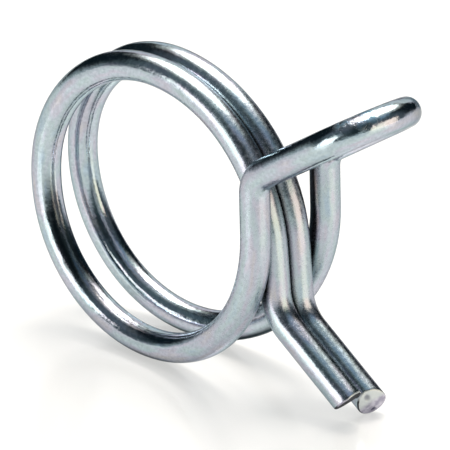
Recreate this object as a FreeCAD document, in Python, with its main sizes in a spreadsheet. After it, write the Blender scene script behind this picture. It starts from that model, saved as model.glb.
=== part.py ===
import FreeCAD, Part
import math
import os
from FreeCAD import Placement, Rotation, Vector

# A double wire spring clamp for a hose, all of it one length of round spring wire.
# The middle of the wire is the loop that pliers push on. From the loop each half runs down a leg,
# once round the hose, and out again between the two legs. Both ends then stick out side by side
# as the second tab for the pliers, so squeezing the two tabs together opens the ring.
#
# Millimetres, +Z up. The hose's axis is Y, and the loop and the tail point to +X.
# The origin is on the hose's axis, half way between the ring's lowest and highest point.
# The clamp stands as it lies on a table, on the bottom of the ring and the tip of the tail.

# Each size is a name, a value and what it measures. Radii and lengths are those of the wire's middle.
SIZES = (
    ("wire_diameter", 2.5, "spring wire, across"),
    ("lower_right_radius", 12.5, "ring, from the legs to the lowest point"),
    ("lower_left_radius", 12.3, "ring, from the lowest point to the far left"),
    ("upper_left_radius", 10.6, "ring, from the far left to the highest point"),
    ("upper_right_radius", 13.7, "ring, from the highest point to the wire pair"),
    ("bottom_gap", 3.5, "clear space between the two wires at the lowest point"),
    ("left_gap", 1.9, "the same at the far left"),
    ("top_gap", 0.3, "the same at the highest point"),
    ("pair_gap", 0.22, "the same between the legs and along the tail"),
    ("leg_clearance", 0.44, "space between a leg and the wire pair inside it"),
    ("leg_lean", 5.0, "degrees that the legs lean back from upright"),
    ("leg_length", 3.5, "straight part of a leg"),
    ("loop_bend_radius", 2.3, "bend from the leg to the loop"),
    ("loop_angle", 34.7, "degrees that the loop rises"),
    ("loop_straight", 6.7, "straight side of the loop"),
    ("pair_lean", 8.5, "degrees that the wire pair leans forward going down"),
    ("front_run", 3.5, "straight part of the front wire of the pair"),
    ("back_run", 4.3, "straight part of the back wire of the pair"),
    ("tail_bend_radius", 4.0, "bend from the pair to the tail"),
    ("tail_angle", 33.5, "degrees that the tail falls"),
    ("front_tail", 7.6, "straight tail of the front wire"),
    ("back_tail", 7.7, "straight tail of the back wire"),
    ("front_cut_down", 11.0, "degrees that the front wire's sheared end turns down"),
    ("front_cut_back", 12.0, "degrees that the same end turns to the back"),
    ("back_cut_up", 13.0, "degrees that the back wire's sheared end turns up"),
    ("back_cut_front", 14.0, "degrees that the same end turns to the front"),
)

FRONT = Vector(0, -1, 0)
BACK = Vector(0, 1, 0)


def heading(degrees):
    """Unit direction in the side view, measured from +X towards +Z."""
    angle = math.radians(degrees)
    return Vector(math.cos(angle), 0, math.sin(angle))


def past_quarter(start, course, radius, degrees):
    """Where a wire that starts on a course ends up after turning clockwise by some degrees.

    A negative number of degrees follows the same circle backwards.
    """
    centre = start + heading(course - 90) * radius
    return centre + heading(course + 90 - degrees) * radius


def rounded(start, corner, end):
    """Arc from start to end that is tangent to the two lines through the corner."""
    half_chord = (end - start).Length / 2
    towards_corner = corner - (start + end) / 2
    half_turn = math.atan2(towards_corner.Length, half_chord)
    bulge = half_chord * math.tan(half_turn / 2)
    return Part.Arc(start, (start + end) / 2 + towards_corner.normalize() * bulge, end).toShape()


def straight(start, end):
    return Part.LineSegment(start, end).toShape()


def curve_in_space(start, leaving, end, arriving):
    """Two tangent arcs that leave the start and reach the end in the given directions.

    Both corners stand off their ends by the same arm. The arcs meet half way between the corners
    when those are two arms apart, which gives a quadratic equation for the arm.
    """
    reach = end - start
    squared = 2 * (leaving.dot(arriving) - 1)
    linear = -2 * reach.dot(leaving + arriving)
    root = math.sqrt(linear ** 2 - 4 * squared * reach.dot(reach))
    arm = (-linear - root) / (2 * squared)
    first_corner = start + leaving * arm
    last_corner = end - arriving * arm
    meeting = (first_corner + last_corner) / 2
    return [rounded(start, first_corner, meeting), rounded(meeting, last_corner, end)]


def offsets(sheet):
    """Distances of the wire's middle from the mid plane, at the ring's five stations."""
    gaps = (sheet.bottom_gap, sheet.left_gap, sheet.top_gap, sheet.pair_gap)
    at_ring = [(sheet.wire_diameter + gap) / 2 for gap in gaps]
    at_leg = at_ring[-1] + sheet.wire_diameter + sheet.leg_clearance
    return [at_leg] + at_ring


def ring_edges(sheet, side):
    """The turn round the hose, from the leg's foot to the pair's foot, with its two ends."""
    first, second, third, fourth = (
        sheet.lower_right_radius,
        sheet.lower_left_radius,
        sheet.upper_left_radius,
        sheet.upper_right_radius,
    )
    half_height = (second + third) / 2
    lowest = Vector(second - half_height, 0, -half_height)
    far_left = past_quarter(lowest, 180, second, 90)
    highest = past_quarter(far_left, 90, third, 90)
    stations = [
        past_quarter(lowest, 180, first, -90 - sheet.leg_lean),
        lowest,
        far_left,
        highest,
        past_quarter(highest, 0, fourth, 90 - sheet.pair_lean),
    ]
    out = offsets(sheet)
    stations = [station + side * distance for station, distance in zip(stations, out)]

    # The wire drifts sideways as it goes round, but not where it meets a leg or the pair
    leg_down = heading(sheet.leg_lean - 90)
    pair_down = heading(sheet.pair_lean - 90)
    quarters = [math.pi / 2 * radius for radius in (first, second, third, fourth)]
    courses = [leg_down]
    for index, flat in ((1, 180), (2, 90), (3, 0)):
        drift = (out[index + 1] - out[index - 1]) / (quarters[index - 1] + quarters[index])
        courses.append((heading(flat) + side * drift).normalize())
    courses.append(pair_down)
    edges = []
    for index in range(4):
        edges += curve_in_space(
            stations[index], courses[index], stations[index + 1], courses[index + 1]
        )
    return stations[0], edges, stations[-1]


def loop_edges(sheet, side, leg_foot):
    """Half of the loop and one leg, from the loop's tip down to the ring."""
    leg_up = heading(90 + sheet.leg_lean)
    loop_out = heading(sheet.loop_angle)
    turn = 90 + sheet.leg_lean - sheet.loop_angle
    bend_arm = sheet.loop_bend_radius * math.tan(math.radians(turn / 2))
    leg_top = leg_foot + leg_up * sheet.leg_length
    bend_corner = leg_top + leg_up * bend_arm
    loop_start = bend_corner + loop_out * bend_arm
    loop_end = loop_start + loop_out * sheet.loop_straight
    half_width = offsets(sheet)[0]
    crown_corner = loop_end + loop_out * half_width
    tip = crown_corner - side * half_width
    return [
        rounded(tip, crown_corner, loop_end),
        straight(loop_end, loop_start),
        rounded(loop_start, bend_corner, leg_top),
        straight(leg_top, leg_foot),
    ]


def pair_edges(sheet, pair_foot, run):
    """One wire of the pair and its bend outwards, with the place where its tail starts."""
    pair_down = heading(sheet.pair_lean - 90)
    tail_out = heading(-sheet.tail_angle)
    turn = 90 - sheet.pair_lean - sheet.tail_angle
    bend_arm = sheet.tail_bend_radius * math.tan(math.radians(turn / 2))
    run_end = pair_foot + pair_down * run
    bend_corner = run_end + pair_down * bend_arm
    tail_start = bend_corner + tail_out * bend_arm
    return [straight(pair_foot, run_end), rounded(run_end, bend_corner, tail_start)], tail_start


def half_wire(sheet, side, run):
    """Middle line of half the wire, from the loop's tip to the start of its tail."""
    leg_foot, ring, pair_foot = ring_edges(sheet, side)
    pair, tail_start = pair_edges(sheet, pair_foot, run)
    return loop_edges(sheet, side, leg_foot) + ring + pair, tail_start


def tail_with_sheared_end(doc, name, start, length, fall, towards_back):
    """Straight tail with its end sheared off by a block, a little out of square.

    The end face looks down from level by the angle fall, and to the back by towards_back.
    """
    sheet = doc.Sizes
    rod = doc.addObject("Part::Cylinder", name + "_rod")
    rod.setExpression("Radius", "Sizes.wire_diameter / 2")
    rod.setExpression("Height", f"Sizes.{length} + Sizes.wire_diameter")
    tail_out = heading(-sheet.tail_angle)
    rod.Placement = Placement(start, Rotation(Vector(0, 0, 1), tail_out))

    block = doc.addObject("Part::Cylinder", name + "_block")
    block.setExpression("Radius", "Sizes.wire_diameter * 2")
    block.setExpression("Height", "Sizes.wire_diameter * 4")
    sideways = math.radians(towards_back)
    face = heading(-fall) * math.cos(sideways) + BACK * math.sin(sideways)
    end = start + tail_out * sheet.get(length)
    block.Placement = Placement(end, Rotation(Vector(0, 0, 1), face))

    tail = doc.addObject("Part::Cut", name)
    tail.Base = rod
    tail.Tool = block
    return tail


os.makedirs("parts", exist_ok=True)
doc = FreeCAD.newDocument("wire_clamp")
sheet = doc.addObject("Spreadsheet::Sheet", "Sizes")
for row, (alias, value, note) in enumerate(SIZES, 1):
    sheet.set(f"A{row}", alias)
    sheet.set(f"B{row}", str(value))
    sheet.set(f"C{row}", note)
    sheet.setAlias(f"B{row}", alias)
doc.recompute()

# The bent wire, all but its two straight tails
front_edges, front_tail_start = half_wire(sheet, FRONT, sheet.front_run)
back_edges, back_tail_start = half_wire(sheet, BACK, sheet.back_run)
middle_line = doc.addObject("Part::Feature", "middle_line")
middle_line.Shape = Part.Wire(front_edges[::-1] + back_edges)

section = doc.addObject("Part::Circle", "section")
section.setExpression("Radius", "Sizes.wire_diameter / 2")
section.Placement = Placement(
    front_tail_start, Rotation(Vector(0, 0, 1), heading(180 - sheet.tail_angle))
)
bent_wire = doc.addObject("Part::Sweep", "bent_wire")
bent_wire.Sections = [section]
bent_wire.Spine = (middle_line, [])
bent_wire.Solid = True

# The tails, with the ends as the shears left them
front_tail = tail_with_sheared_end(
    doc,
    "front_wire_tail",
    front_tail_start,
    "front_tail",
    sheet.tail_angle + sheet.front_cut_down,
    sheet.front_cut_back,
)
back_tail = tail_with_sheared_end(
    doc,
    "back_wire_tail",
    back_tail_start,
    "back_tail",
    sheet.tail_angle - sheet.back_cut_up,
    -sheet.back_cut_front,
)
clamp = doc.addObject("Part::MultiFuse", "clamp")
clamp.Label = "wire_clamp"
clamp.Shapes = [bent_wire, front_tail, back_tail]
clamp.Placement = Placement(Vector(0, 0, 0), Rotation())
doc.recompute()

for thing in doc.Objects:
    if "Invalid" in thing.State or "Error" in thing.State:
        raise RuntimeError(f"{thing.Name} is {thing.State}")
if clamp.Shape.isNull() or not clamp.Shape.isValid() or len(clamp.Shape.Solids) != 1:
    raise RuntimeError("the clamp isn't one valid solid")

wire_length = middle_line.Shape.Length + sheet.front_tail + sheet.back_tail
section_area = math.pi * sheet.wire_diameter ** 2 / 4
box = clamp.Shape.BoundBox
print("wire length", round(wire_length, 2), "mm")
print("volume", round(clamp.Shape.Volume, 2), "section times length", round(section_area * wire_length, 2))
print("box", round(box.XLength, 2), round(box.YLength, 2), round(box.ZLength, 2), "lowest", round(box.ZMin, 3))
clamp.Shape.exportStep(f"parts/{clamp.Label}.step")
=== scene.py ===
import math

import bmesh
import bpy
from mathutils import Matrix, Vector, noise


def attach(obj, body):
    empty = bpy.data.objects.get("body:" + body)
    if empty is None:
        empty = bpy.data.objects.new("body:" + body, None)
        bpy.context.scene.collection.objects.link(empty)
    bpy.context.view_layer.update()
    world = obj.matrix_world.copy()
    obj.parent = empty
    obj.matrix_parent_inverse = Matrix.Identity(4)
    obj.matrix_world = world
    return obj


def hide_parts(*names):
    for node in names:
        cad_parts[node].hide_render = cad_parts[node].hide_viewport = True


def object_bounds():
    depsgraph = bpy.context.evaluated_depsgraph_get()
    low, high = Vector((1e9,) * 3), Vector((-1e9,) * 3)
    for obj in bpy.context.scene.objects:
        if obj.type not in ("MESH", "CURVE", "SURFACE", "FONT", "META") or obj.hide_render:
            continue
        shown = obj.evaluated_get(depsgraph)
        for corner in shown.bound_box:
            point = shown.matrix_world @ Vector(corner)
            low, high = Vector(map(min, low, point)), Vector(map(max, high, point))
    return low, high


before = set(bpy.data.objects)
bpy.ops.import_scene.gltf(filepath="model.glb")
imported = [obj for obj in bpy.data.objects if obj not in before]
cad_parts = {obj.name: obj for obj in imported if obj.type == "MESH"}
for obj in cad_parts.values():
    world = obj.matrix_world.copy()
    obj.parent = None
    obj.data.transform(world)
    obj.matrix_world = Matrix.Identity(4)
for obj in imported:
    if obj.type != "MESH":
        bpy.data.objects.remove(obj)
cad_low, cad_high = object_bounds()

# The wire
# The whole clamp is one length of hard-drawn spring steel wire, bent cold on a forming machine and
# then plated. The mesh is made the same way: a round section is fed forward and bent, step by step,
# from the cut end of the front tail, round both turns and the loop, to the end of the back tail.

mm = 0.001
wire_diameter = 2.5 * mm
wire_radius = wire_diameter / 2
pair_gap = 0.22 * mm                # between the two wires that run down between the legs
leg_clearance = 0.44 * mm           # between that pair and the leg on each side of it
leg_lean = 5.0                      # degrees back from upright
leg_length = 3.5 * mm
loop_bend_radius = 2.3 * mm
loop_rise = 34.7                    # degrees
loop_straight = 6.7 * mm
pair_lean = 8.5                     # degrees forward, going down
tail_bend_radius = 4.0 * mm
tail_fall = 33.5                    # degrees
# The ring is four quarter turns, from the legs down, round and over to the pair
quarter_radii = [12.5 * mm, 12.3 * mm, 10.6 * mm, 13.7 * mm]
# Clear space between the two turns at the bottom, the far left and the top
turn_gaps = [3.5 * mm, 1.9 * mm, 0.3 * mm]
pair_run = {"front": 3.5 * mm, "back": 4.3 * mm}
tail_length = {"front": 7.6 * mm, "back": 7.7 * mm}
side_of = {"front": Vector((0, -1, 0)), "back": Vector((0, 1, 0))}

pair_offset = (wire_diameter + pair_gap) / 2
loop_half_width = pair_offset + wire_diameter + leg_clearance
# How far to the side the wire's middle is at the leg, at those three gaps and in the pair
offsets = [loop_half_width, *((wire_diameter + gap) / 2 for gap in turn_gaps), pair_offset]


def heading(degrees):
    """Direction in the side view, in degrees from +X towards +Z."""
    return Vector((math.cos(math.radians(degrees)), 0, math.sin(math.radians(degrees))))


def round_a_circle(start, course, radius, degrees):
    """Where a clockwise turn of some degrees ends, or starts if they are negative."""
    centre = start + heading(course - 90) * radius
    return centre + heading(course + 90 - degrees) * radius


def two_bends(start, leaving, end, arriving):
    """Two tangent bends that join two places and directions, as (start, corner, end) each."""
    reach = end - start
    # Both corners lie the same arm's length from their ends, and twice that from each other
    by_square = 2 * (leaving.dot(arriving) - 1)
    by_arm = -2 * reach.dot(leaving + arriving)
    arm = (-by_arm - math.sqrt(by_arm ** 2 - 4 * by_square * reach.dot(reach))) / (2 * by_square)
    corners = start + leaving * arm, end - arriving * arm
    meeting = (corners[0] + corners[1]) / 2
    return [(start, corners[0], meeting), (meeting, corners[1], end)]


tail_out = heading(-tail_fall)


def half_route(which):
    """Runs as (start, end) and bends as (start, corner, end), from the loop's tip to the tail's end."""
    side = side_of[which]
    first, second, third, fourth = quarter_radii
    half_height = (second + third) / 2
    lowest = Vector((second - half_height, 0, -half_height))
    far_left = round_a_circle(lowest, 180, second, 90)
    highest = round_a_circle(far_left, 90, third, 90)
    stations = [
        round_a_circle(lowest, 180, first, -90 - leg_lean),
        lowest,
        far_left,
        highest,
        round_a_circle(highest, 0, fourth, 90 - pair_lean),
    ]
    stations = [station + side * offset for station, offset in zip(stations, offsets)]
    pair_down = heading(pair_lean - 90)
    # Between two quarters the wire heads to the side as fast as its offset changes there
    courses = [heading(leg_lean - 90)]
    for i, flat in ((1, 180), (2, 90), (3, 0)):
        both_quarters = math.pi / 2 * (quarter_radii[i - 1] + quarter_radii[i])
        drift = (offsets[i + 1] - offsets[i - 1]) / both_quarters
        courses.append((heading(flat) + side * drift).normalized())
    courses.append(pair_down)

    leg_up = heading(90 + leg_lean)
    loop_out = heading(loop_rise)
    loop_arm = loop_bend_radius * math.tan(math.radians(90 + leg_lean - loop_rise) / 2)
    leg_top = stations[0] + leg_up * leg_length
    loop_corner = leg_top + leg_up * loop_arm
    loop_start = loop_corner + loop_out * loop_arm
    loop_end = loop_start + loop_out * loop_straight
    crown_corner = loop_end + loop_out * loop_half_width
    route = [
        (crown_corner - side * loop_half_width, crown_corner, loop_end),
        (loop_end, loop_start),
        (loop_start, loop_corner, leg_top),
        (leg_top, stations[0]),
    ]
    for i in range(4):
        route += two_bends(stations[i], courses[i], stations[i + 1], courses[i + 1])
    tail_arm = tail_bend_radius * math.tan(math.radians(90 - pair_lean - tail_fall) / 2)
    run_end = stations[-1] + pair_down * pair_run[which]
    tail_corner = run_end + pair_down * tail_arm
    tail_start = tail_corner + tail_out * tail_arm
    tail_end = tail_start + tail_out * tail_length[which]
    return route + [
        (stations[-1], run_end),
        (run_end, tail_corner, tail_start),
        (tail_start, tail_end),
    ]


round_steps = 64                    # round the section
bend_step = 3.5                     # degrees
run_step = 2.4 * mm
cut_allowance = wire_diameter * 1.5     # the wire is fed this much past each end, and sheared there

front_route = half_route("front")
back_route = half_route("back")
front_end, back_end = front_route[-1][-1], back_route[-1][-1]
front_route[-1] = (front_route[-1][0], front_end + tail_out * cut_allowance)
back_route[-1] = (back_route[-1][0], back_end + tail_out * cut_allowance)

wire = bmesh.new()
along = wire.verts.layers.float.new("along")
around = wire.verts.layers.float.new("around")
wire_start = Matrix.Translation(front_route[-1][-1])
square_to_tail = tail_out.to_track_quat("-Z", "Y").to_matrix().to_4x4()
section = bmesh.ops.create_circle(
    wire, segments=round_steps, radius=wire_radius, matrix=wire_start @ square_to_tail
)["verts"]
for i, vert in enumerate(section):
    vert[around] = i / round_steps
rim = list(wire.edges) + section


def edges_in(geom):
    """The edges among what a bmesh operator gives."""
    return [edge for edge in geom if isinstance(edge, bmesh.types.BMEdge)]


def verts_in(geom):
    """The points among what a bmesh operator gives."""
    return [vert for vert in geom if isinstance(vert, bmesh.types.BMVert)]


def advance(rim, length):
    """Notes how far along the wire a freshly made rim is."""
    for vert in verts_in(rim):
        vert[along] += length


def feed(rim, length, course):
    """Draws the wire's open rim straight out along a course, and gives the new rim."""
    steps = max(1, round(length / run_step))
    for _ in range(steps):
        made = bmesh.ops.extrude_edge_only(wire, edges=edges_in(rim))["geom"]
        rim = edges_in(made) + verts_in(made)
        bmesh.ops.translate(wire, verts=verts_in(made), vec=course * (length / steps))
        advance(rim, length / steps)
    return rim


def bend(rim, start, corner, end):
    """Swings the wire's open rim round the bend at a corner, and gives the new rim."""
    into, out = (corner - start).normalized(), (end - corner).normalized()
    axis = into.cross(out).normalized()
    angle = into.angle(out)
    radius = (corner - start).length / math.tan(angle / 2)
    pivot = start + axis.cross(into) * radius
    steps = max(1, round(math.degrees(angle) / bend_step))
    for _ in range(steps):
        made = bmesh.ops.spin(wire, geom=rim, cent=pivot, axis=axis, angle=angle / steps, steps=1)
        rim = made["geom_last"]
        advance(rim, angle * radius / steps)
    return rim


up_to_loop_tip = [stretch[::-1] for stretch in front_route[::-1]]
for stretch in up_to_loop_tip + back_route:
    if len(stretch) == 2:
        run = stretch[1] - stretch[0]
        rim = feed(rim, run.length, run.normalized())
    else:
        rim = bend(rim, *stretch)

# Each end is sheared a little out of square. The blade rolls the edge over and burnishes the face where
# it enters, and the rest of the face tears off and is left pitted. The lower side of each rolled edge, and
# the whole front face, which faces down, are painted dark: a painted shade.

# The turns are in degrees. A place on a face is sideways and down from its middle, and all that isn't in
# mm is in radii of the wire. A pit has its middle, its size and its share of the depth.
sheared_ends = {
    "front": {
        "end": front_end, "proud": 0.08 * mm, "turned_up": -11.0, "turned_back": 2.0,
        "rolled_edge": 0.15 * mm, "pits": [((0.3, 0.3), 0.2, 1.0)],
        "entry_side": (0.2, -0.98), "entry_from": 0.55, "entry_slope": 0.25,
        "shade_side": (0.0, 1.0), "shade_from": 0.0, "face_shade": 1.0,
    },
    "back": {
        "end": back_end, "proud": 0.2 * mm, "turned_up": 8.0, "turned_back": -14.0,
        "rolled_edge": 0.1 * mm, "pits": [((-0.5, -0.4), 0.2, 0.6), ((0.4, 0.64), 0.17, 1.0)],
        "entry_side": (-0.66, -0.75), "entry_from": 0.2, "entry_slope": 0.42,
        "shade_side": (-0.5, 0.87), "shade_from": 0.25, "face_shade": 0.0,
    },
}
pit_depth = 0.14 * mm
pit_margin = 0.15                   # from the edge, in which a pit fades out
entry_softness = 0.004              # rounds the line where the entry zone begins to fall away
burnish_width = 0.3                 # over which the burnished zone turns into the torn one
tear_size = 0.5 * mm                # of the teeth along that line
tear_depth = 0.15
shade_width = 0.2                    # over which the painted shade on the rolled edge sets in
edge_rings = [1.0, 0.985, 0.95]     # on the rolled edge
face_rings = [0.92 - 0.06 * i for i in range(15)]
shading_margin = 0.6 * mm
cut_reach = wire_diameter * 2
cut_tolerance = 1e-7                # metres


def limited(value):
    """The value, kept from 0 to 1."""
    return min(1.0, max(0.0, value))


burnished = wire.verts.layers.float.new("burnished")
pitted = wire.verts.layers.float.new("pitted")
painted_end_shade = wire.verts.layers.float.new("painted_end_shade")
sheared = []
for which, cut in sheared_ends.items():
    turned_back = math.radians(cut["turned_back"])
    tilted_out = heading(-tail_fall + cut["turned_up"])
    face_normal = tilted_out * math.cos(turned_back) + side_of["back"] * math.sin(turned_back)
    # One cut stops the side's shading short of the rolled edge, and the next one takes the rest off
    for short_by in (shading_margin, 0.0):
        blade = cut["end"] + tail_out * (cut["proud"] - short_by)
        near = [vert for vert in wire.verts if (vert.co - blade).length < cut_reach]
        near = [vert for vert in near if vert.co.y * side_of[which].y > 0]
        geom = set(near)
        for vert in near:
            geom.update(vert.link_edges)
            geom.update(vert.link_faces)
        made = bmesh.ops.bisect_plane(
            wire, geom=list(geom), dist=cut_tolerance, plane_co=blade, plane_no=face_normal,
            clear_outer=short_by == 0.0
        )
    rim = edges_in(made["geom_cut"])
    radius_share = {vert: 1.0 for edge in rim for vert in edge.verts}
    face_centre = sum((vert.co for vert in radius_share), Vector()) / len(radius_share)
    to_centre = Matrix.Translation(-face_centre)
    outer = 1.0
    for inner in edge_rings[1:] + face_rings:
        made = bmesh.ops.extrude_edge_only(wire, edges=rim)["geom"]
        rim = edges_in(made)
        bmesh.ops.scale(wire, vec=[inner / outer] * 3, space=to_centre, verts=verts_in(made))
        radius_share.update((vert, inner) for vert in verts_in(made))
        sheared += [face for face in made if isinstance(face, bmesh.types.BMFace)]
        outer = inner
    sheared += bmesh.ops.holes_fill(wire, edges=rim, sides=0)["faces"]

    down = side_of["back"].cross(face_normal).normalized()
    sideways = face_normal.cross(down)
    rolled_width = cut["rolled_edge"] / wire_radius
    for vert, share in radius_share.items():
        from_centre = vert.co - face_centre
        spot = Vector((from_centre.dot(sideways), from_centre.dot(down))) / wire_radius
        tear = noise.noise(vert.co / tear_size) * tear_depth
        entered = spot.dot(Vector(cut["entry_side"])) - cut["entry_from"] + tear
        past_entry = (entered + math.sqrt(entered ** 2 + entry_softness)) / 2
        entry_drop = cut["entry_slope"] * past_entry * wire_radius
        on_edge = max(0.0, share - 1 + rolled_width) / rolled_width
        edge_drop = cut["rolled_edge"] * (1 - math.sqrt(1 - on_edge ** 2))
        pit = 0.0
        for middle, size, depth in cut["pits"]:
            pit += depth * math.exp(-((spot - Vector(middle)).length / size) ** 4)
        pit *= limited((1 - share) / pit_margin)
        vert.co -= tail_out * (edge_drop + entry_drop + pit_depth * pit)
        vert[burnished] = limited(entered / burnish_width + 0.5)
        vert[pitted] = pit
        # Painted shade on the lower side of the rolled edge, and over the whole face where the face's
        # share is 1
        edge_shade = limited((spot.dot(Vector(cut["shade_side"])) - cut["shade_from"]) / shade_width)
        vert[painted_end_shade] = edge_shade if share in edge_rings else cut["face_shade"]
bmesh.ops.recalc_face_normals(wire, faces=wire.faces)
for face in wire.faces:
    face.smooth = True
for face in sheared:
    face.material_index = 1

# The wire unrolled flat: once round it is 1 across, and a millimetre along it is 1 up. A face that lies
# over the seam has its points past the seam moved on by a whole round.
unrolled_map = wire.loops.layers.uv.new("wire")
for face in wire.faces:
    rounds = [loop.vert[around] for loop in face.loops]
    over_seam = max(rounds) - min(rounds) > 0.5
    for loop, part_round in zip(face.loops, rounds):
        past_seam = over_seam and part_round < 0.5
        loop[unrolled_map].uv = (part_round + 1 if past_seam else part_round, loop.vert[along] / mm)
loop_tip = max(wire.verts, key=lambda vert: vert.co.x)[along]
half_length = max(vert[along] for vert in wire.verts) - loop_tip
wire_mesh = bpy.data.meshes.new("plated_wire")
wire.to_mesh(wire_mesh)
wire.free()
plated_wire = bpy.data.objects.new("plated_wire", wire_mesh)
bpy.context.scene.collection.objects.link(plated_wire)
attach(plated_wire, "root")
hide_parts("wire_clamp")


def linear(colour):
    """An sRGB hex colour as linear RGBA."""
    channels = [int(colour[i:i + 2], 16) / 255 for i in (1, 3, 5)]
    return [c / 12.92 if c <= 0.04045 else ((c + 0.055) / 1.055) ** 2.4 for c in channels] + [1]


def add(tree, kind, sockets=(), **settings):
    """Adds a node with its settings. A socket takes a value, or a (node, output) pair to link.

    A number stands for a socket whose name isn't its own. In a colour mix 0 is the factor, 6 and 7 are
    the two colours, and 2 is what comes out.
    """
    node = tree.nodes.new(kind)
    for name, value in settings.items():
        setattr(node, name, value)
    for name, value in dict(sockets).items():
        if isinstance(value, tuple) and isinstance(value[0], bpy.types.Node):
            tree.links.new(value[0].outputs[value[1]], node.inputs[name])
        else:
            node.inputs[name].default_value = value
    return node


# Zinc plated bright on drawn spring steel, and cleared in a thin chromate film. It gives a blue-grey
# mirror, drawn out along the wire by the die's lines, with faint green, lilac and a warmer grey where the
# film is thicker, a fine grain, and a duller surface where the forming tools held the wire.
zinc = bpy.data.materials.new("bright_zinc_on_drawn_wire")
zinc.use_nodes = True
tree = zinc.node_tree
tree.nodes.clear()
# How often each pattern repeats in a millimetre, across the wire and along it, or any way. The grain is
# about 0.1 mm and the die's lines some 0.05 mm wide, and they are drawn at 0.3 and 0.25 mm to show.
film_across, film_along = 0.88, 0.22
die_across, die_along = 4.0, 0.3
grain_scale = 3.2
blotch_scale = 1.2
wave_scale = 0.7

on_wire = add(tree, "ShaderNodeTexCoord")
in_mm = add(tree, "ShaderNodeMapping", {
    "Vector": (on_wire, "Object"), "Scale": (1 / mm, 1 / mm, 1 / mm),
})
unrolled = add(tree, "ShaderNodeUVMap", uv_map="wire")
split = add(tree, "ShaderNodeSeparateXYZ", {0: (unrolled, "UV")})
round_it = add(tree, "ShaderNodeMath", {0: (split, "X"), 1: 2 * math.pi}, operation="MULTIPLY")
cosine = add(tree, "ShaderNodeMath", {0: (round_it, 0)}, operation="COSINE")
sine = add(tree, "ShaderNodeMath", {0: (round_it, 0)}, operation="SINE")
# The wire laid out straight: 1 across is the wire's radius, and z runs along it in millimetres
straight = add(tree, "ShaderNodeCombineXYZ", {"X": (cosine, 0), "Y": (sine, 0), "Z": (split, "Y")})
from_tip = add(tree, "ShaderNodeMath", {0: (split, "Y"), 1: loop_tip / mm}, operation="SUBTRACT")
either_way = add(tree, "ShaderNodeMath", {0: (from_tip, 0)}, operation="ABSOLUTE")

# The film's colours lie in streaks along the wire
film_per_radius = film_across * wire_radius / mm
streaks = add(tree, "ShaderNodeMapping", {
    "Vector": (straight, 0), "Scale": (film_per_radius, film_per_radius, film_along),
})
film = add(tree, "ShaderNodeTexNoise", {
    "Vector": (streaks, 0), "Scale": 1.0, "Detail": 2.0, "Roughness": 0.6,
})
film_colours = add(tree, "ShaderNodeValToRGB", {"Fac": (film, 0)})
film_stops = ((0.3, "#B3C5D2"), (0.42, "#BBCACE"), (0.5, "#BEC8D2"), (0.58, "#C3C4D1"), (0.7, "#C8C6C9"))
while len(film_colours.color_ramp.elements) < len(film_stops):
    film_colours.color_ramp.elements.new(0.5)
for stop, (position, tone) in zip(film_colours.color_ramp.elements, film_stops):
    stop.position = position
    stop.color = linear(tone)
grain = add(tree, "ShaderNodeTexNoise", {
    "Vector": (in_mm, 0), "Scale": grain_scale, "Detail": 3.0, "Roughness": 0.7,
})
grain_shade = add(tree, "ShaderNodeMapRange", {
    "Value": (grain, 0), "From Min": 0.35, "From Max": 0.65, "To Min": 0.86, "To Max": 1.06,
})
grainy = add(tree, "ShaderNodeVectorMath", {
    0: (film_colours, 0), 1: (grain_shade, 0),
}, operation="MULTIPLY")

# The bending tool scuffed the loop's upper side dull and dark, round these places each way from its tip
scuff_middle, scuff_reach, scuff_core = 3.2, 1.8, 1.2       # mm
past_scuff = add(tree, "ShaderNodeMath", {0: (either_way, 0), 1: scuff_middle}, operation="SUBTRACT")
off_scuff = add(tree, "ShaderNodeMath", {0: (past_scuff, 0)}, operation="ABSOLUTE")
gripped = add(tree, "ShaderNodeMapRange", {
    "Value": (off_scuff, 0), "From Min": scuff_reach, "From Max": scuff_core,
})
sides = add(tree, "ShaderNodeSeparateXYZ", {0: (on_wire, "Normal")})
upper_side = add(tree, "ShaderNodeMapRange", {"Value": (sides, "Z"), "From Min": 0.25, "From Max": 0.5})
blotches = add(tree, "ShaderNodeTexNoise", {
    "Vector": (in_mm, 0), "Scale": blotch_scale, "Detail": 4.0, "Roughness": 0.6,
})
rubbed = add(tree, "ShaderNodeMapRange", {"Value": (blotches, 0), "From Min": 0.42, "From Max": 0.56})
gripped_top = add(tree, "ShaderNodeMath", {0: (gripped, 0), 1: (upper_side, 0)}, operation="MULTIPLY")
scuff = add(tree, "ShaderNodeMath", {0: (gripped_top, 0), 1: (rubbed, 0)}, operation="MULTIPLY")
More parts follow.
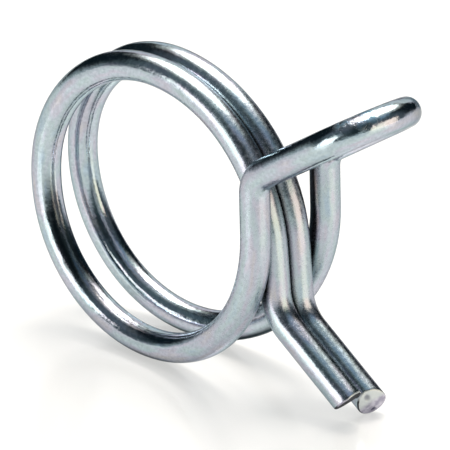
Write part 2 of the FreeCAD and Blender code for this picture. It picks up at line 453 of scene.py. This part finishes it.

# Painted shade and a painted dark reflection. The colour is painted near black down the side of the back
# leg that faces the pair, where it lies in shade, and under the back turn next to its lowest point, as
# painted shade, and in a ragged streak inside the front turn at the lower left, as a painted dark
# reflection. Each place lies on the side that faces one way, from an edge to where it is full. Along the
# wire it has a middle, which is in millimetres from the loop's tip and under 0 on the front half, a reach
# and a full core.
painted_dark_places = (
    {
        "faces": (-0.45, -0.89, 0.0), "edge": 0.84, "full": 0.93, "ragged": 0.0,
        "middle": 17.0, "reach": 7.0, "core": 5.5, "black": 1.0,
    },
    {
        "faces": (0.0, 0.0, -1.0), "edge": 0.46, "full": 0.66, "ragged": 0.0,
        "middle": 34.0, "reach": 8.0, "core": 4.0, "black": 1.0,
    },
    {
        "faces": (0.6, -0.5, 0.62), "edge": 0.9, "full": 1.0, "ragged": 0.25,
        "middle": -52.2, "reach": 7.5, "core": 3.5, "black": 0.8,
    },
)
painted_darks = []
for place in painted_dark_places:
    faces_it = add(tree, "ShaderNodeVectorMath", {
        0: (on_wire, "Normal"), 1: place["faces"],
    }, operation="DOT_PRODUCT")
    ragged_edge = add(tree, "ShaderNodeMath", {
        0: (blotches, 0), 1: place["ragged"], 2: (faces_it, "Value"),
    }, operation="MULTIPLY_ADD")
    on_side = add(tree, "ShaderNodeMapRange", {
        "Value": (ragged_edge, 0), "From Min": place["edge"], "From Max": place["full"],
        "To Max": place["black"],
    })
    past_middle = add(tree, "ShaderNodeMath", {0: (from_tip, 0), 1: place["middle"]}, operation="SUBTRACT")
    off_middle = add(tree, "ShaderNodeMath", {0: (past_middle, 0)}, operation="ABSOLUTE")
    on_stretch = add(tree, "ShaderNodeMapRange", {
        "Value": (off_middle, 0), "From Min": place["reach"], "From Max": place["core"],
    })
    painted_darks.append(add(tree, "ShaderNodeMath", {0: (on_side, 0), 1: (on_stretch, 0)}, operation="MULTIPLY"))
# The painted shade and painted dark reflection together, which take the colour down to 0.06 at their
# darkest
painted_dark_back = add(tree, "ShaderNodeMath", {0: (painted_darks[0], 0), 1: (painted_darks[1], 0)}, operation="MAXIMUM")
painted_dark = add(tree, "ShaderNodeMath", {0: (painted_dark_back, 0), 1: (painted_darks[2], 0)}, operation="MAXIMUM")
painted_dark_factor = add(tree, "ShaderNodeMapRange", {"Value": (painted_dark, 0), "To Min": 1.0, "To Max": 0.06})

# Painted shade: where wires nearly touch, ambient occlusion darkens the colour towards black, as shade
# falls between them
shade_reach = 1.5 * mm
occlusion = add(tree, "ShaderNodeAmbientOcclusion", {"Distance": shade_reach}, samples=8)
painted_gap_shade = add(tree, "ShaderNodeMapRange", {
    "Value": (occlusion, "AO"), "From Min": 0.3, "From Max": 0.62, "To Min": 0.12, "To Max": 1.0,
})
painted_shade_factor = add(tree, "ShaderNodeMath", {
    0: (painted_gap_shade, 0), 1: (painted_dark_factor, 0),
}, operation="MULTIPLY")
shaded_film_colour = add(tree, "ShaderNodeVectorMath", {0: (grainy, 0), 1: (painted_shade_factor, 0)}, operation="MULTIPLY")
zinc_colour = add(tree, "ShaderNodeMix", {
    0: (scuff, 0), 6: (shaded_film_colour, 0), 7: linear("#8BA3B0"),
}, data_type="RGBA", blend_type="MULTIPLY")

# How dull the tools left the wire, from the loop's tip at 0 to each cut end at 1: dullest down the legs
# and where the pair runs down between them, and about half as dull over the top and on the tails
tip_share = add(tree, "ShaderNodeMath", {0: (either_way, 0), 1: half_length / mm}, operation="DIVIDE")
held = add(tree, "ShaderNodeValToRGB", {"Fac": (tip_share, 0)})
held_stops = (
    (0.1, 0.0), (0.15, 0.8), (0.25, 0.8), (0.31, 0.0),
    (0.62, 0.0), (0.74, 0.55), (0.88, 0.85), (0.93, 0.45),
)
while len(held.color_ramp.elements) < len(held_stops):
    held.color_ramp.elements.new(0.5)
for stop, (position, amount) in zip(held.color_ramp.elements, held_stops):
    stop.position = position
    stop.color = (amount, amount, amount, 1)
held_roughness = add(tree, "ShaderNodeMapRange", {"Value": (held, 0), "To Min": 0.12, "To Max": 0.34})
grain_roughness = add(tree, "ShaderNodeMapRange", {
    "Value": (grain, 0), "From Min": 0.35, "From Max": 0.65, "To Min": -0.06, "To Max": 0.06,
})
scuff_roughness = 0.35
scuffed = add(tree, "ShaderNodeMath", {
    0: (scuff, 0), 1: scuff_roughness, 2: (held_roughness, 0),
}, operation="MULTIPLY_ADD")
roughness = add(tree, "ShaderNodeMath", {0: (scuffed, 0), 1: (grain_roughness, 0)}, operation="ADD")

# The drawn wire is never quite true, and the die's lines, the grain and the scuff lie over that
die_per_radius = die_across * wire_radius / mm
drawn = add(tree, "ShaderNodeMapping", {
    "Vector": (straight, 0), "Scale": (die_per_radius, die_per_radius, die_along),
})
die_lines = add(tree, "ShaderNodeTexNoise", {"Vector": (drawn, 0), "Scale": 1.0, "Detail": 2.0})
waves = add(tree, "ShaderNodeTexNoise", {"Vector": (in_mm, 0), "Scale": wave_scale, "Detail": 1.0})
surface = add(tree, "ShaderNodeBump", {"Height": (waves, 0), "Distance": 0.03 * mm})
for pattern, depth in ((die_lines, 0.008 * mm), (grain, 0.015 * mm), (scuff, 0.02 * mm)):
    surface = add(tree, "ShaderNodeBump", {
        "Height": (pattern, 0), "Distance": depth, "Normal": (surface, 0),
    })
# The specular tint is the film again, which takes a little off the glare along the wire's outline
plated = add(tree, "ShaderNodeBsdfPrincipled", {
    "Base Color": (zinc_colour, 2), "Specular Tint": linear("#B4BBBF"), "Metallic": 1.0,
    "Roughness": (roughness, 0), "Normal": (surface, 0),
})
add(tree, "ShaderNodeOutputMaterial", {"Surface": (plated, 0)})
wire_mesh.materials.append(zinc)

# Spring steel torn by the shear, with the zinc thin over it: matt and coarse, a pale lilac grey, with
# darker pits. Where the blade entered it is burnished to an even pale grey. A dark matt paint is laid on
# as painted shade, under the rolled edges and over the front face, which faces down.
torn = bpy.data.materials.new("sheared_spring_steel")
torn.use_nodes = True
tree = torn.node_tree
tree.nodes.clear()
# The torn grain is some 0.1 mm, and is drawn at about 0.5 mm to show, which is 1.8 to the millimetre
torn_scale = 1.8
on_face = add(tree, "ShaderNodeTexCoord")
face_in_mm = add(tree, "ShaderNodeMapping", {
    "Vector": (on_face, "Object"), "Scale": (1 / mm, 1 / mm, 1 / mm),
})
torn_grain = add(tree, "ShaderNodeTexNoise", {
    "Vector": (face_in_mm, 0), "Scale": torn_scale, "Detail": 4.0, "Roughness": 0.6,
})
crystals = add(tree, "ShaderNodeValToRGB", {"Fac": (torn_grain, 0)})
crystals.color_ramp.elements[0].position = 0.38
crystals.color_ramp.elements[0].color = linear("#A29EAF")
crystals.color_ramp.elements[1].position = 0.6
crystals.color_ramp.elements[1].color = linear("#CECBD6")
smeared = add(tree, "ShaderNodeAttribute", attribute_name="burnished")
hollow = add(tree, "ShaderNodeAttribute", attribute_name="pitted")
end_shaded = add(tree, "ShaderNodeAttribute", attribute_name="painted_end_shade")
smooth_zone = add(tree, "ShaderNodeMix", {
    0: (smeared, "Fac"), 6: (crystals, 0), 7: linear("#D2D7D6"),
}, data_type="RGBA")
dark_pits = add(tree, "ShaderNodeMix", {
    0: (hollow, "Fac"), 6: (smooth_zone, 2), 7: linear("#46455F"),
}, data_type="RGBA")
bumps = add(tree, "ShaderNodeBump", {"Height": (torn_grain, 0), "Distance": 0.04 * mm})
bare_steel = add(tree, "ShaderNodeBsdfPrincipled", {
    "Base Color": (dark_pits, 2), "Normal": (bumps, 0), "Metallic": 1.0, "Roughness": 0.42,
})
patchy = add(tree, "ShaderNodeMapRange", {"Value": (torn_grain, 0), "From Min": 0.35, "From Max": 0.65})
# Painted shade: a dark matt paint where the end is set to lie in shade
end_shade_colour = add(tree, "ShaderNodeMix", {
    0: (patchy, 0), 6: linear("#17191C"), 7: linear("#484B51"),
}, data_type="RGBA")
end_shade_surface = add(tree, "ShaderNodeBsdfPrincipled", {
    "Base Color": (end_shade_colour, 2), "Normal": (bumps, 0), "Roughness": 0.7, "Specular IOR Level": 0.2,
})
torn_face = add(tree, "ShaderNodeMixShader", {0: (end_shaded, "Fac"), 1: (bare_steel, 0), 2: (end_shade_surface, 0)})
add(tree, "ShaderNodeOutputMaterial", {"Surface": (torn_face, 0)})
wire_mesh.materials.append(torn)

# The camera
# It stands to the right of the hose's line and looks down on the clamp, with a long lens.
camera_turn = 40.41                 # degrees
camera_height = 22.88
camera_roll = 2.60
camera_distance = 0.4297            # metres
picture = 450                       # pixels each way
focal_length = 5247.85              # in those pixels
origin_in_picture = (166.65, 198.62)    # from the left and from the top

camera_rotation = (
    Matrix.Rotation(math.radians(camera_turn), 3, "Z")
    @ Matrix.Rotation(math.radians(90 - camera_height), 3, "X")
    @ Matrix.Rotation(math.radians(camera_roll), 3, "Z")
)
# From the camera to the object's origin, in the camera's own directions
to_origin = Vector((origin_in_picture[0] - picture / 2, picture / 2 - origin_in_picture[1], -focal_length))
camera_place = camera_rotation @ to_origin.normalized() * -camera_distance
camera = bpy.data.cameras.new("camera")
camera.sensor_width = 36
camera.lens = focal_length / picture * camera.sensor_width
camera.clip_start = 0.01
camera_stand = bpy.data.objects.new("camera", camera)
camera_stand.matrix_world = Matrix.Translation(camera_place) @ camera_rotation.to_4x4()
bpy.context.scene.collection.objects.link(camera_stand)
bpy.context.scene.camera = camera_stand
bpy.context.scene.view_settings.view_transform = "Standard"

# The table
# A sheet of white acrylic. A little over half of the white that the camera and the metal see is a glow
# of its own, which keeps it as pale as the photograph's ground. The lamps light the rest, with shadows.
table_size = 6.0
glow = 0.54                         # share of its white

sheet = bmesh.new()
bmesh.ops.create_grid(
    sheet, x_segments=1, y_segments=1, size=table_size / 2, matrix=Matrix.Translation((0, 0, cad_low[2]))
)
sheet_mesh = bpy.data.meshes.new("acrylic_sheet")
sheet.to_mesh(sheet_mesh)
sheet.free()
table = bpy.data.objects.new("acrylic_sheet", sheet_mesh)
bpy.context.scene.collection.objects.link(table)
acrylic = bpy.data.materials.new("white_acrylic")
acrylic.use_nodes = True
tree = acrylic.node_tree
tree.nodes.clear()
rays = add(tree, "ShaderNodeLightPath")
seen_or_shown = add(tree, "ShaderNodeMath", {
    0: (rays, "Is Camera Ray"), 1: (rays, "Is Glossy Ray"),
}, operation="ADD")
watched = add(tree, "ShaderNodeMath", {
    0: (seen_or_shown, 0), 1: (rays, "Is Transmission Ray"),
}, operation="ADD", use_clamp=True)
lit = add(tree, "ShaderNodeMath", {0: (watched, 0), 1: glow}, operation="MULTIPLY")
white = linear("#F4F3F0")
white_less_glow = [channel * (1 - glow) for channel in white[:3]] + [1]
acrylic_colour = add(tree, "ShaderNodeMix", {
    0: (watched, 0), 6: white, 7: white_less_glow,
}, data_type="RGBA")
acrylic_surface = add(tree, "ShaderNodeBsdfPrincipled", {
    "Base Color": (acrylic_colour, 2), "Roughness": 0.2, "IOR": 1.49,
    "Emission Color": linear("#FFFFFD"), "Emission Strength": (lit, 0),
})
add(tree, "ShaderNodeOutputMaterial", {"Surface": (acrylic_surface, 0)})
sheet_mesh.materials.append(acrylic)

# The dark room
# Dark cloth hangs round the table and over it, so that the metal has something dark to show, and is
# open at the back to the white wall. The cloth glows with painted light: paler low down, overhead and in
# front, with painted pools of light where the lamps' light would spill on it.
room_radius = 1.5
room_foot = -3                      # degrees up from level
opening_across = (152, 197)         # degrees
opening_up = (6, 34)
# A painted pool of light: degrees across and up to its middle, degrees from there to where it ends and
# where it is full, and its colour
painted_spills = (
    (-53, 12, 50, 24, "#4E5B61"),
    (62, 14, 54, 26, "#525F64"),
    (50, 68, 28, 14, "#8DA4B8"),
    (-66, 42, 34, 14, "#5E6B72"),
    (173, 68, 41, 25, "#FFFAF2"),
)


def towards(across, up):
    """Direction from the clamp, in degrees to the right of the camera's side and up from level."""
    turn = math.radians(camera_turn + across)
    flat = Vector((math.sin(turn), -math.cos(turn), 0))
    return flat * math.cos(math.radians(up)) + Vector((0, 0, 1)) * math.sin(math.radians(up))


def fade(value, empty, full):
    """0 where the value is at empty or beyond, 1 at full or beyond, and a soft step between."""
    t = limited((value - empty) / (full - empty))
    return t * t * (3 - 2 * t)


room = bmesh.new()
bmesh.ops.create_uvsphere(room, u_segments=120, v_segments=60, radius=room_radius)
tone_layer = room.verts.layers.float_color.new("tone")
for vert in room.verts:
    way = vert.co.normalized()
    front = way.dot(towards(0, 0))
    in_front = fade(front, 0.2, 0.95)
    low_down = fade(front, -0.72, -0.4) * fade(way.z, 0.24, 0.0)
    overhead = fade(front, -0.45, -0.1) * fade(way.z, 0.72, 0.95)
    painted_glow = Vector(linear("#131F25"))
    for shade, amount in (("#2A373B", in_front), ("#BDC6C8", low_down), ("#96A2A6", overhead)):
        painted_glow = painted_glow.lerp(Vector(linear(shade)), amount)
    for across, up, reach, core, spill in painted_spills:
        apart = math.degrees(way.angle(towards(across, up)))
        painted_glow = painted_glow.lerp(Vector(linear(spill)), fade(apart, reach, core))
    vert[tone_layer] = painted_glow
cut_away = []
for face in room.faces:
    way = face.calc_center_median().normalized()
    up = math.degrees(math.asin(way.z))
    across = (math.degrees(math.atan2(way.x, -way.y)) - camera_turn) % 360
    in_opening = opening_across[0] < across < opening_across[1] and opening_up[0] < up < opening_up[1]
    if up < room_foot or in_opening:
        cut_away.append(face)
bmesh.ops.delete(room, geom=cut_away, context="FACES")
room_mesh = bpy.data.meshes.new("dark_room")
room.to_mesh(room_mesh)
room.free()
dark_room = bpy.data.objects.new("dark_room", room_mesh)
bpy.context.scene.collection.objects.link(dark_room)
dark_room.visible_camera = False
cloth = bpy.data.materials.new("dark_cloth")
cloth.use_nodes = True
cloth.cycles.emission_sampling = "NONE"
tree = cloth.node_tree
tree.nodes.clear()
painted = add(tree, "ShaderNodeAttribute", attribute_name="tone")
cloth_glow = add(tree, "ShaderNodeEmission", {"Color": (painted, "Color"), "Strength": 1.0})
add(tree, "ShaderNodeOutputMaterial", {"Surface": (cloth_glow, 0)})
room_mesh.materials.append(cloth)

# The lamps
# One large soft lamp with a hotter middle hangs over and behind the clamp, and a smaller one stands at
# each side of the camera.


def soft_lamp(name, shape, across, up, distance, width, height, brightness, colour):
    """A lamp that faces the clamp; at a brightness of 1 it looks as bright as white paper."""
    lamp = bpy.data.lights.new(name, "AREA")
    lamp.shape = shape
    lamp.size = width
    lamp.size_y = height
    lamp.energy = brightness * math.pi * width * height * (math.pi / 4 if shape == "ELLIPSE" else 1)
    lamp.color = linear(colour)[:3]
    stand = bpy.data.objects.new(name, lamp)
    direction = towards(across, up)
    stand.location = direction * distance
    stand.rotation_euler = direction.to_track_quat("Z", "Y").to_euler()
    bpy.context.scene.collection.objects.link(stand)


soft_lamp("overhead_lamp", "ELLIPSE", 173, 68, 0.9, 0.86, 0.86, 2.7, "#FFFAF5")
soft_lamp("overhead_core", "ELLIPSE", 173, 68, 0.89, 0.32, 0.32, 17.0, "#FFFAF5")
soft_lamp("left_lamp", "RECTANGLE", -53, 10, 0.7, 0.42, 0.34, 2.5, "#FFFBF6")
soft_lamp("right_lamp", "RECTANGLE", 57, 11.5, 0.7, 0.6, 0.36, 1.6, "#FFEDD4")

# The world
# White all round. The metal shows it through the room's open back, and a level camera sees it past the
# table, because the camera doesn't see the cloth.
world = bpy.data.worlds.new("white_wall")
bpy.context.scene.world = world
world.use_nodes = True
world.node_tree.nodes["Background"].inputs["Color"].default_value = (1, 1, 1, 1)
world.node_tree.nodes["Background"].inputs["Strength"].default_value = 1.0
